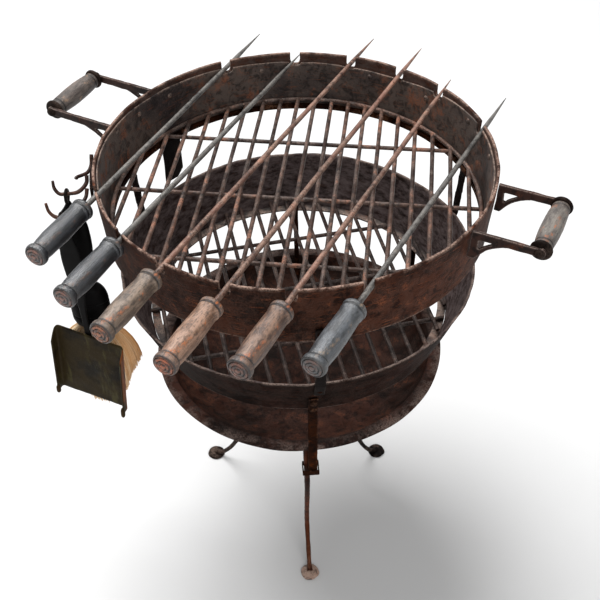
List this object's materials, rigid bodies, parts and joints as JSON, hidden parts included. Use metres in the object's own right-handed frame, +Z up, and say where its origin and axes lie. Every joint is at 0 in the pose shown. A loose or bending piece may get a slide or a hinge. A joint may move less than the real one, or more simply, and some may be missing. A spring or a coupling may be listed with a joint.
{
  "type": "charcoal grill",
  "caption": "Round wrought-iron charcoal grill on a tripod: notched hoops, rod grates, ash pan, wooden-handled skewers, side handles, and hooks with a shovel and a hearth brush.",
  "frame": {"origin": "on the floor, under the middle of the grill's bounding box", "axes": "+Z up; -Y is the front, where the skewer handles stick out; +X is the right-hand side seen from the front"},
  "size_m": [0.7334, 0.7528, 0.7668],
  "materials": {
    "rusted_iron": "dark brown rusted iron",
    "dark_iron": "blackened iron",
    "worn_iron": "grey-brown iron, worn bright in places",
    "grey_wood": "weathered turned wood",
    "charred_wood": "charred turned wood",
    "black_lacquer": "black lacquered wood",
    "black_sheet": "black sheet metal with rubbed edges",
    "straw": "straw bristles"
  },
  "bodies": {
    "frame": {"upper_hoop": "rusted_iron", "liner_hoop": "dark_iron", "grate_ledge": "rusted_iron", "fire_hoop": "rusted_iron", "fire_ledge": "dark_iron", "ash_pan": "dark_iron", "strut_front": "dark_iron", "strut_left": "dark_iron", "strut_right": "dark_iron", "strap_front": "rusted_iron", "strap_left": "rusted_iron", "strap_right": "rusted_iron", "leg_front": "worn_iron", "leg_left": "worn_iron", "leg_right": "worn_iron", "collar_front": "rusted_iron", "collar_left": "rusted_iron", "collar_right": "rusted_iron", "rear_hanger": "dark_iron", "rear_tab": "dark_iron", "handle_left_arm_front": "dark_iron", "handle_left_arm_back": "dark_iron", "spindle_left": "dark_iron", "handle_right_arm_back": "dark_iron", "handle_right_arm_front": "dark_iron", "spindle_right": "dark_iron", "hook_plate": "dark_iron", "hook_brush": "dark_iron", "hook_shovel": "dark_iron", "hook_stay": "dark_iron"},
    "cooking_grate": {"cooking_grate": "worn_iron"},
    "fire_grate": {"fire_grate": "worn_iron"},
    "grip_left": {"grip_left": "grey_wood", "ferrule_left_front": "dark_iron", "ferrule_left_back": "dark_iron"},
    "grip_right": {"grip_right": "grey_wood", "ferrule_right_front": "dark_iron", "ferrule_right_back": "dark_iron"},
    "skewer_1": {"skewer_1_rod": "worn_iron", "skewer_1_handle": "charred_wood"},
    "skewer_2": {"skewer_2_rod": "worn_iron", "skewer_2_handle": "charred_wood"},
    "skewer_3": {"skewer_3_rod": "worn_iron", "skewer_3_handle": "grey_wood"},
    "skewer_4": {"skewer_4_rod": "worn_iron", "skewer_4_handle": "grey_wood"},
    "skewer_5": {"skewer_5_rod": "worn_iron", "skewer_5_handle": "grey_wood"},
    "skewer_6": {"skewer_6_rod": "worn_iron", "skewer_6_handle": "grey_wood"},
    "shovel": {"shovel_handle": "dark_iron", "shovel_blade": "black_sheet"},
    "brush": {"brush_handle": "black_lacquer", "brush_head": "black_lacquer", "brush_bristles": "straw"}
  },
  "joints": [
    {"name": "cooking_grate_lift", "type": "slide", "parent": "frame", "child": "cooking_grate", "axis": [0, 0, 1], "range_m": [0, 0.04]},
    {"name": "fire_grate_lift", "type": "slide", "parent": "frame", "child": "fire_grate", "axis": [0, 0, 1], "range_m": [0, 0.08]},
    {"name": "grip_left_spin", "type": "hinge", "parent": "frame", "child": "grip_left", "pos_m": [-0.31475, 0.19617, 0.752], "axis": [-0.4756, -0.8797, 0], "continuous": true},
    {"name": "grip_right_spin", "type": "hinge", "parent": "frame", "child": "grip_right", "pos_m": [0.33123, -0.14041, 0.752], "axis": [0.4478, 0.8942, 0], "continuous": true},
    {"name": "skewer_1_spin", "type": "hinge", "parent": "frame", "child": "skewer_1", "pos_m": [-0.25034, -0.05189, 0.7478], "axis": [0.4399, 0.898, 0], "continuous": true},
    {"name": "skewer_2_spin", "type": "hinge", "parent": "frame", "child": "skewer_2", "pos_m": [-0.20751, -0.1417, 0.7478], "axis": [0.4571, 0.8894, 0], "continuous": true},
    {"name": "skewer_3_spin", "type": "hinge", "parent": "frame", "child": "skewer_3", "pos_m": [-0.15208, -0.1984, 0.7478], "axis": [0.4718, 0.8817, 0], "continuous": true},
    {"name": "skewer_4_spin", "type": "hinge", "parent": "frame", "child": "skewer_4", "pos_m": [-0.07282, -0.24028, 0.7478], "axis": [0.4586, 0.8886, 0], "continuous": true},
    {"name": "skewer_5_spin", "type": "hinge", "parent": "frame", "child": "skewer_5", "pos_m": [0.00573, -0.25413, 0.7478], "axis": [0.4563, 0.8898, 0], "continuous": true},
    {"name": "skewer_6_spin", "type": "hinge", "parent": "frame", "child": "skewer_6", "pos_m": [0.09726, -0.24102, 0.7478], "axis": [0.4863, 0.8738, 0], "continuous": true},
    {"name": "shovel_swing", "type": "hinge", "parent": "frame", "child": "shovel", "pos_m": [-0.29664, -0.07124, 0.729], "axis": [1, 0, 0], "range_deg": [-15, 1]},
    {"name": "brush_swing", "type": "hinge", "parent": "frame", "child": "brush", "pos_m": [-0.29564, -0.02524, 0.733], "axis": [1, 0, 0], "range_deg": [-1, 15]}
  ]
}
